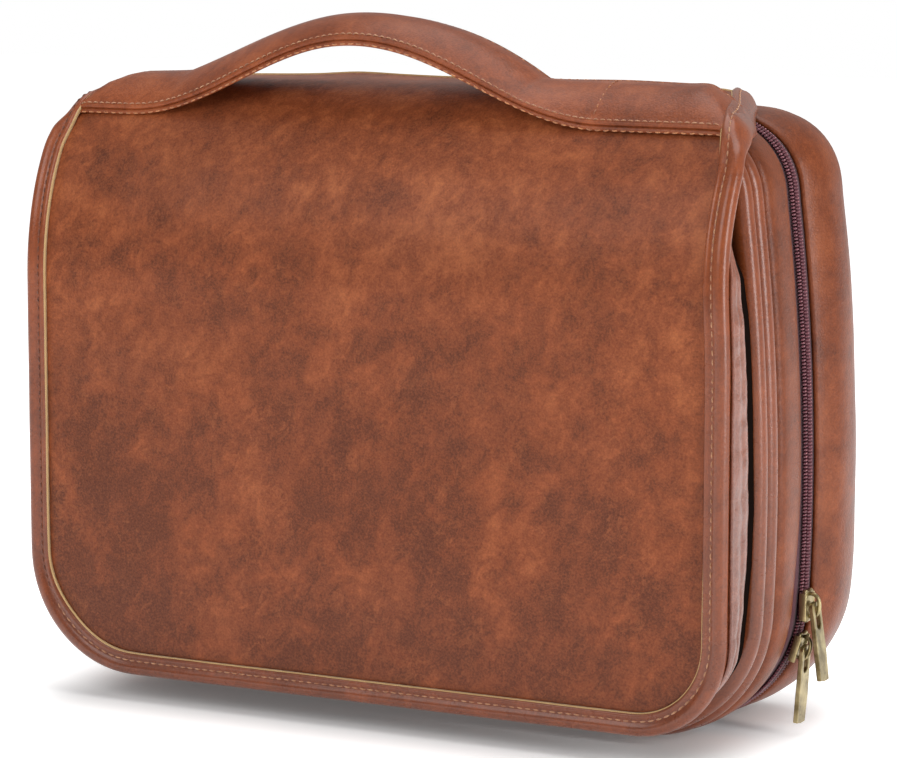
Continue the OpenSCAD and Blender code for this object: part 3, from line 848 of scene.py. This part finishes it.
def flap_sides():
    """Creased side strips, near-black strips of painted shade behind them, and the cloth back of the padded
    flap.
    """
    for side, node in ((-1, "flap_gusset_left"), (1, "flap_gusset_right")):
        keep = (EDGE[:, 0] * side > 0) & (EDGE[:, 1] > 8) & (EDGE[:, 1] < HINGE_S - 3)
        edge, inward = EDGE[keep], EDGE_IN[keep]
        share = np.linspace(0, 1, 18)
        depth = np.maximum(pouch_depth(edge[:, 1]), 3.2)
        room = ease((depth - 3.2) / 6)[:, None]
        w = 0.35 + np.zeros((len(edge), len(share))) + 2.4 * (1 - room)
        h = -2.5 - (depth - 2.5)[:, None] * share[None, :]
        flat = np.stack([np.broadcast_to(edge[:, 1:], w.shape), h, np.full_like(w, side * 50.0)], -1)
        creases = ripple(flat * (1.0, 0.4, 1), 9, 2.0) * 0.75 + ripple(flat * (1, 0.8, 1), 3.2, 6.0) * 0.3
        fold = 0.7 * bell((share - 0.52) / 0.13)[None, :] * room
        curl = 1.4 * ease((share - 0.86) / 0.14)[None, :] * room
        belly = (-0.9 - creases) * np.sin(np.clip(share, 0.08, 1) * pi)[None, :]
        points = from_edge(edge, inward, w + belly * room + fold + curl, h)
        piece = mesh_piece(f"{node}_leather", points, quads(*w.shape), CREASED, flip=side > 0, thick=1.2)
        stuck_on(piece, "flap", "binding_leather", node)

        # Behind each side strip, a rolled hem of the flap's lining coloured near black: painted shade that
        # keeps the gap to the piping dark.
        gap_shade = np.linspace(0, 1, 6)
        w = 0.7 + 2.0 * (1 - room) - 0.4 * gap_shade[None, :] * room + np.zeros((len(edge), 1))
        h = -(depth - 1.2)[:, None] - 6.0 * gap_shade[None, :] * room
        points = from_edge(edge, inward, w, h)
        roll = mesh_piece(f"{node}_hem", points, quads(*w.shape), SHADE, flip=side > 0, thick=0.8)
        stuck_on(roll, "flap", "lining_cloth")

    x, s, inset = flap_grid(3.0, HINGE_S - 4, 60, 90)
    depth = np.maximum(pouch_depth(s), 3.4)
    waves = ripple(level(x, s), 24, 8.0) * 0.35
    points = on_skin(x, s, -mix(3.4, depth, ease(inset / 3.0 + 0.5)) + 0.5 + waves)
    back = mesh_piece("flap_back_cloth", points, quads(*x.shape), LINING, flip=True, thick=0.9)
    stuck_on(back, "flap", "lining_cloth", "flap_back", "flap_padding", "flap_magnets")


# ---- rear seam of the wrap


def spine():
    """Leather strip under the wrap's rear edge, sewn to the back shell."""
    hem_end = span("spine_hem")[1][1]
    grid_y, share = np.meshgrid(np.linspace(4, hem_end, 26), np.linspace(-1, 1, 70), indexing="ij")
    grid_x = np.interp(grid_y, [4, WRAP_BACK, hem_end], [118, 113, 110]) * share
    lift = np.interp(grid_y, [4, 16, SPINE_AXIS[1], hem_end], [2.0, 2.3, 2.2, 1.5])
    z = top_edge(grid_x, 0) + lift + ripple(level(grid_x, grid_y), 28, 1.0) * 0.3
    points = np.stack([grid_x, grid_y, z], -1)
    strip = mesh_piece("spine_strip", points, quads(*grid_x.shape), TRIM, flip=True, thick=1.2)
    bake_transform(strip)
    stands_for(strip, "binding_leather", "spine_hem")
    line_x = np.linspace(-107, 107, 120)
    line = np.c_[line_x, np.full(120, hem_end - 3.5), top_edge(line_x, 0) + 2.0]
    up = np.broadcast_to([0.0, 0.0, 1.0], line.shape)
    row = stitch_row("hem_stitches", line, up, PALE_THREAD, STITCH_PITCH, STITCH_LENGTH, 0.36)
    stuck_on(row, "back_shell", "binding_leather")


# ---- handle

ARCH_DROP = 3.5
FRONT_RISE, REAR_RISE = 27.8, 21.0
FRONT_TOP_X, REAR_TOP_X = -12, -14
FRONT_REACH, LEFT_REACH, SLOPE_REACH, RIGHT_REACH = 98, 80, 92, 68
ARCH_LEAN = radians(15)


def bow(t):
    return np.clip(1 - np.abs(t) ** 2.2, 0, None)


def wave(t):
    return (1 + np.cos(t * pi)) / 2


def strap_lift(x, v):
    """How far up its arch the strap is at x: v is 0 along its front edge and 1 along its rear edge.
    The rear edge springs off the wrap at a sharp fold, and the front edge leaves it gradually."""
    front = wave(np.clip(np.abs(x - FRONT_TOP_X) / FRONT_REACH, 0, 1))
    x = x - REAR_TOP_X
    left = mix(bow(x / LEFT_REACH), wave(np.clip(x / SLOPE_REACH, -1, 0)), 0.45)
    return mix(front, np.where(x < 0, left, bow(x / RIGHT_REACH)), v)


def strap_point(u, w, h):
    """Points on the strap: u from -1 to 1 along it, w across it from its middle, h above the wrap."""
    u, w, h = together(u, w, h)
    s = STRAP_MIDDLE_S + w
    x = u * mix(half_width(STRAP_MIDDLE_S), half_width(s), u**4) - u * (BINDING_W - 3.5)
    h = h * mix(1.0, 0.55, ease((np.abs(u) - 0.95) / 0.05))
    v = (w + STRAP_HALF) / (2 * STRAP_HALF)
    lift = strap_lift(x, v)
    on_wrap = on_skin(x, s, 0.0)
    above = unit(on_skin(x, s, 1.0) - on_wrap)
    lean = np.array([0, -sin(ARCH_LEAN), cos(ARCH_LEAN)])
    up = unit(above * (1 - lift)[..., None] + lean * lift[..., None])
    high = 1.1 * ease((x - 50) / 40) + 0.8 * ease((x - 108) / 12)
    rise = lift * mix(FRONT_RISE, REAR_RISE, v) + high * v * ease((0.965 - np.abs(u)) / 0.1)
    crown = 0.9 * lift * (1 - (w / STRAP_HALF) ** 2)
    return on_wrap + up * (h + crown)[..., None] + np.stack([0 * rise, -ARCH_DROP * lift, rise], -1)


def strap():
    u = np.linspace(-1, 1, 260)
    e = STRAP_HALF
    outer = [
        (1.4 - e, 1.75), (1.4 - e, 2.7), (2.1 - e, 3.2), (3.0 - e, 3.0), (4.4 - e, 3.25), (-6, 3.5), (0, 3.6),
        (6, 3.5), (e - 4.6, 3.2), (e - 2.6, 2.8), (e - 1.6, 3.1), (e - 0.9, 2.6), (e - 0.9, 1.75),
    ]
    under = [
        (0.6 - e, 0.1), (0.1 - e, 0.5), (-e, 1.1), (0.3 - e, 1.6), (1.6 - e, 1.62), (e - 1, 1.62),
        (e - 0.2, 1.4), (e, 0.9), (e - 0.4, 0.1), (0, 0.1),
    ]
    for name, profile, nodes in (
        ("handle_strap_leather", outer, ("handle_strap", "handle_end_left", "handle_end_right")),
        ("handle_under_leather", under, ("handle_underlayer",)),
    ):
        w, h = np.array(profile).T
        sections = strap_point(u[:, None], w[None, :], h[None, :])
        sections[..., 2] += ripple(sections, 30, 5.5) * 0.2
        bend_at_strap(swept(name, sections, STRAP, flip=True), *nodes)
    for label, w, height, material, gap, size in (
        ("front", 0.1 - e, 1.1, TAN_THREAD, 3.3, 0.33),
        ("rear", e - 2.6, 2.75, TAN_THREAD, 3.3, 0.28),
        ("middle", 3.0 - e, 3.15, PALE_THREAD, 2.7, 0.26),
    ):
        line = strap_point(u, w, height)
        above = strap_point(u, w, height + 1) - line
        if label == "front":
            above = above * 0.3 + strap_point(u, w - 1, height) - line
        name = f"strap_stitches_{label}"
        bend_at_strap(stitch_row(name, line, above, material, gap, gap * 0.74, size, slack=0.3))
    w = np.linspace(4 - e, e - 2, 40)
    line = strap_point(0.62, w, 3.4)
    above = strap_point(0.62, w, 4.4) - line
    bend_at_strap(stitch_row("strap_stitches_cross", line, above, TAN_THREAD, 3.0, 2.2, 0.26, slack=0.2))


def bend_at_strap(piece, *nodes):
    """Bakes a piece's transform into its mesh and hides the CAD nodes it stands for."""
    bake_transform(piece)
    stands_for(piece, "strap_leather", *nodes)


# ---- linings and pockets


def linings():
    """Cloth insides with a slack, softly waved floor."""
    shares = [0.9, 0.68, 0.42, 0.16]
    (_, rim, _), (_, floor, _) = span("back_lining")
    wall = [
        (-3.0, rim + 0.4), (-3.6, rim), (-4.2, rim + 0.8), (-4.3, 30), (-4.6, floor - 6), (-6.5, floor - 2),
        (-11, floor - 0.8),
    ]
    points, faces = closed_by_disc(ring(wall), [floor - 0.5] * 4, shares)
    points[:, 1] += ripple(points, 26, 2.0) * 0.6 * ease((points[:, 1] - floor + 4) / 3)
    piece = mesh_piece("back_lining_cloth", points, faces, LINING, thick=0.8, grow=1.0)
    stuck_on(piece, "back_shell", "lining_cloth", "back_lining")

    (_, floor, _), (_, rim, _) = span("front_lining")
    wall = [
        (-3.0, rim + 0.2), (-4.0, rim + 0.5), (-5.2, rim), (-8.0, rim - 3),
        (-8.0, floor + 7), (-9.5, floor + 3), (-14, floor + 1.4),
    ]
    points, faces = closed_by_disc(settle(wall), [floor + 1.0] * 4, shares)
    points[:, 1] += ripple(points, 26, 4.0) * 0.5 * ease((floor + 5 - points[:, 1]) / 3)
    piece = mesh_piece("front_lining_cloth", points, faces, LINING, flip=True, thick=0.8, grow=1.0)
    stuck_on(piece, "front_shell", "lining_cloth", "front_lining", "magnet_strikes")


def pockets():
    """Net pockets: knotted squares of thread, gathered by an elastic band along the mouth."""
    for name, body, bulge in (("back", "back_shell", -1), ("front", "front_shell", 1)):
        low, high = span(f"{name}_mesh_pocket")
        middle = (low + high) / 2
        cell = 3.0
        columns, rows = int((high[0] - low[0]) / cell), int((high[2] - low[2]) / cell)
        u, v = np.linspace(0, 1, columns + 1), np.linspace(0, 1, rows + 1)
        grid_v, grid_u = np.meshgrid(v, u, indexing="ij")
        z = mix(low[2], high[2], grid_v)
        corner = np.clip(BOTTOM_R - z, 0, BOTTOM_R)
        inside = high[0] - BOTTOM_R + np.sqrt(np.maximum(BOTTOM_R**2 - corner**2, 0))
        x = (grid_u * 2 - 1) * np.minimum(inside, high[0])
        belly = np.sin(pi * grid_u) * np.sin(pi * grid_v * 0.8)
        y = middle[1] + bulge * 1.6 * belly
        net = mesh_piece(f"{name}_net", np.stack([x, y, z], -1), quads(*x.shape), NET)
        wires = net.modifiers.new("threads", "WIREFRAME")
        wires.thickness = 0.55 * MM
        stuck_on(net, body, "mesh_cloth", f"{name}_mesh_pocket")

        low, high = span(f"{name}_pocket_elastic")
        middle, half = (low + high) / 2, (high - low) / 2
        x = np.linspace(low[0], high[0], 260)
        section = oval((0, middle[2]), half[1:], around(16))
        gather = 0.35 * np.sin(x * tau / 5.5)
        y = middle[1] + gather[:, None] + section[None, :, 0]
        z = section[None, :, 1] + 0.4 * gather[:, None]
        sections = np.stack([np.broadcast_to(x[:, None], y.shape), y, z], -1)
        band = swept(f"{name}_elastic_band", sections, ELASTIC)
        stuck_on(band, body, "elastic", f"{name}_pocket_elastic")


# ---- brass and steel


def bar(name, outline, thickness, place, across, ahead, bevel):
    """A flat brass bar with rounded edges, its outline given along two directions."""
    outline = np.asarray(outline, float)
    normal = np.cross(across, ahead)
    count = len(outline)
    flat = place + outline[:, :1] * across + outline[:, 1:] * ahead
    layers = [flat + normal * t for t in (-thickness / 2, thickness / 2)]
    faces = [tuple(range(count))[::-1], tuple(range(count, 2 * count))]
    faces += [(i, (i + 1) % count, count + (i + 1) % count, count + i) for i in range(count)]
    piece = mesh_piece(name, np.concatenate(layers), faces, BRASS)
    round_edges(piece, bevel)
    return piece


def rod(line, radius):
    """Points and faces of a round rod along a line of points."""
    sides = 12
    ahead = unit(np.gradient(line, axis=0))
    aside = unit(np.cross(ahead, Y_AXIS) + 1e-6)
    above = np.cross(aside, ahead)
    a = around(sides)
    circle = aside[:, None] * np.cos(a)[None, :, None] + above[:, None] * np.sin(a)[None, :, None]
    return line[:, None] + circle * radius, tube_faces(len(line), sides)


def zip_slider(name, tilt):
    """Slider on the teeth: its plate, two side flanges and the bridge that holds the pull."""
    node = f"{name}_slider"
    out = np.array([cos(tilt), 0, -sin(tilt)])
    up = np.array([sin(tilt), 0, cos(tilt)])
    pin_out = 3.6 if name == "upper" else 3.0
    base = PLACES[f"{name}_pull_swing"] / MM - out * pin_out
    foot, plate_t = (6.0, 1.7) if name == "upper" else (4.6, 1.1)
    wedge = [
        (-3.0, -foot), (3.0, -foot), (3.9, 1.4 - foot), (4.1, 1.5), (3.6, 5.0), (2.2, 6), (0.9, 5.2),
        (-0.9, 5.2), (-2.2, 6), (-3.6, 5.0), (-4.1, 1.5), (-3.9, 1.4 - foot),
    ]
    plate = bar(f"{node}_plate", wedge, plate_t, base + out * (0.05 + plate_t / 2), Y_AXIS, up, 0.45)
    stuck_on(plate, node, "antique_brass", node)
    for side, end in HALVES:
        wing = [(-0.9, -5.4), (1.9, -5.4), (1.9, 4.6), (-0.9, 4.6)]
        flange = bar(f"{node}_flange_{end}", wing, 0.9, base + Y_AXIS * side * 3.7, out, up, 0.3)
        stuck_on(flange, node, "antique_brass")
    reach = pin_out + 0.5
    arch = [
        up * (4.2 * cos(t)) + out * (reach * sin(t) ** 0.6) for t in np.linspace(0, pi, 24)
    ]
    bridge = mesh_piece(f"{node}_bridge", *rod(base + out * 1.3 + np.array(arch), 0.75), BRASS)
    stuck_on(bridge, node, "antique_brass")


def zip_pull(name, lean):
    """Long pull: two thin arms round a slot, then a solid bar that widens a little."""
    joint = PLACES[f"{name}_pull_swing"] / MM
    down = np.array([sin(lean), 0, -cos(lean)])
    length = (joint[2] - span(f"{name}_pull")[0][2]) / cos(lean)
    slot_end = 9.0
    arm_out, arm_in = 3.7, 1.9
    shape = [
        (-arm_out, 0.5), (-arm_out + 0.5, -0.9), (-1.2, -1.4), (1.2, -1.4), (arm_out - 0.5, -0.9),
        (arm_out, 0.5), (3.8, slot_end), (4.2, length - 0.8), (3.6, length), (-3.6, length),
        (-4.2, length - 0.8), (-3.8, slot_end),
    ]
    hole = [
        (-arm_in, 0.9), (-arm_in, slot_end - 1.4), (-0.8, slot_end - 0.4), (0.8, slot_end - 0.4),
        (arm_in, slot_end - 1.4), (arm_in, 0.9), (0.9, 0.3), (-0.9, 0.3),
    ]
    piece = framed_bar(f"{name}_pull_brass", np.array(shape), np.array(hole), 1.7, joint, Y_AXIS, down)
    stuck_on(piece, f"{name}_pull", "antique_brass", f"{name}_pull")


def framed_bar(name, outer, inner, thickness, place, across, ahead):
    """A flat bar with a slot, made as a ring of faces between its outline and the slot."""
    count = 40
    centre = inner.mean(0)
    wanted = np.linspace(-pi, pi, count, endpoint=False) + 0.02
    ends = []
    for points in (outer, inner):
        dense = even(np.concatenate([points, points[:1]]), 400, closed=True)
        angle = np.arctan2(dense[:, 1] - centre[1], dense[:, 0] - centre[0])
        order = np.argsort(angle)
        ends.append(dense[[order[np.argmin(np.abs(angle[order] - w))] for w in wanted]])
    normal = np.cross(across, ahead)
    layers = []
    for flat, t in ((ends[0], -1), (ends[0], 1), (ends[1], 1), (ends[1], -1)):
        layers.append(place + flat[:, :1] * across + flat[:, 1:] * ahead + normal * (t * thickness / 2))
    piece = mesh_piece(name, np.stack(layers, 1), tube_faces(count, 4, True), BRASS)
    round_edges(piece, 0.3)
    piece.data.shade_flat()
    return piece


def keep_node(node, material, bevel=0.25):
    """Keeps a CAD node and gives it rounded edges and a real material."""
    piece = frame["nodes"][node]
    piece.data.materials.clear()
    piece.data.materials.append(material)
    round_edges(piece, bevel)


def hardware():
    centre, pin = PLACES["lower_slider_swing"], PLACES["lower_pull_swing"]
    zip_slider("upper", 0.0)
    zip_slider("lower", atan2(centre[2] - pin[2], pin[0] - centre[0]))
    zip_pull("upper", radians(8))
    zip_pull("lower", -radians(4))
    keep_node("hook_ring", STEEL)
    keep_node("hanging_hook", STEEL, 0.2)
    keep_node("hook_tab", TRIM, 0.4)


# ---- stage

TARGET = Vector((0, 0, 0.123))
AZIMUTH, ELEVATION, DISTANCE = radians(28.18), radians(7.89), 1.346
SENSOR, LENS, SHIFT = 36, 144.76, (0.0179, -0.0042)
UNDER_BAG = (0.11, 0.05)


def stage():
    scene = bpy.context.scene
    scene.view_settings.view_transform = "Standard"
    camera = bpy.data.objects.new("camera", bpy.data.cameras.new("camera"))
    scene.collection.objects.link(camera)
    scene.camera = camera
    level = cos(ELEVATION)
    back = Vector((sin(AZIMUTH) * level, -cos(AZIMUTH) * level, sin(ELEVATION)))
    camera.location = TARGET + back * DISTANCE
    camera.rotation_mode = "QUATERNION"
    camera.rotation_quaternion = (-back).to_track_quat("-Z", "Y")
    camera.data.sensor_width, camera.data.lens = SENSOR, LENS
    camera.data.shift_x, camera.data.shift_y = SHIFT
    camera.data.clip_end = 20

    r = 4.0
    floor_mesh = bpy.data.meshes.new("floor")
    floor_mesh.from_pydata([(-r, -r, 0), (r, -r, 0), (r, r, 0), (-r, r, 0)], [], [(0, 1, 2, 3)])
    floor = bpy.data.objects.new("floor", floor_mesh)
    floor.location.z = -0.0004
    scene.collection.objects.link(floor)
    paper = Shader("white_paper")
    # The paper glows, weaker within about 5 cm of the bag's footprint: painted light on the floor, with a
    # painted shadow round the bag.
    outside = [
        paper.maths("MAXIMUM", paper.minus(paper.maths("ABSOLUTE", axis, 0.0), half), 0.0)
        for axis, half in zip(paper.axes(), UNDER_BAG)
    ]
    away = paper.maths("SQRT", paper.plus(*(paper.maths("POWER", d, 2.0) for d in outside)), 0.0)
    glow = paper.node("MapRange", interpolation_type="SMOOTHSTEP")
    paper.link(away, glow.inputs["Value"])
    set_inputs(glow, From_Min=0.0, From_Max=0.055, To_Min=0.1, To_Max=0.75)
    paper.link(glow.outputs["Result"], paper.bsdf.inputs["Emission Strength"])
    floor_mesh.materials.append(
        paper.finish((0.9, 0.9, 0.9, 1), 0.9, Emission_Color=(1, 1, 1, 1), Specular_IOR_Level=0.1)
    )

    world = bpy.data.worlds.new("studio")
    scene.world = world
    world.use_nodes = True
    background = world.node_tree.nodes["Background"]
    new, link = world.node_tree.nodes.new, world.node_tree.links.new
    split = new("ShaderNodeSeparateXYZ")
    link(new("ShaderNodeTexCoord").outputs["Generated"], split.inputs[0])
    sky = new("ShaderNodeMapRange")
    link(split.outputs["Y"], sky.inputs["Value"])
    set_inputs(sky, From_Min=-0.6, From_Max=0.7, To_Min=0.25, To_Max=0.44)
    seen = new("ShaderNodeMix")
    link(new("ShaderNodeLightPath").outputs["Is Camera Ray"], seen.inputs["Factor"])
    link(sky.outputs["Result"], seen.inputs["A"])
    set_inputs(seen, B=1.0)
    link(seen.outputs["Result"], background.inputs["Strength"])
    set_inputs(background, Color=(1, 1, 1, 1))

    def softbox(name, place, aim, size, power):
        data = bpy.data.lights.new(name, "AREA")
        data.shape = "RECTANGLE"
        data.size, data.size_y = size
        data.energy = power
        lamp = bpy.data.objects.new(name, data)
        lamp.location = place
        lamp.rotation_mode = "QUATERNION"
        lamp.rotation_quaternion = (Vector(aim) - Vector(place)).to_track_quat("-Z", "Y")
        scene.collection.objects.link(lamp)

    softbox("key", (-0.24, -1.0, 0.86), (0, 0, 0.2), (0.9, 0.7), 6.0)
    softbox("top", (0.1, 0.2, 1.8), (0, 0, 0), (1.8, 1.4), 18)
    softbox("strip", (1.25, -0.2, 0.35), (0.1, -0.02, 0.13), (0.3, 0.9), 8)


for build in (
    stage, back_shell, front_shell, zipper, flap_panel, binding, binding_stitches, flap_sides, spine, strap,
    linings, pockets, hardware,
):
    build()
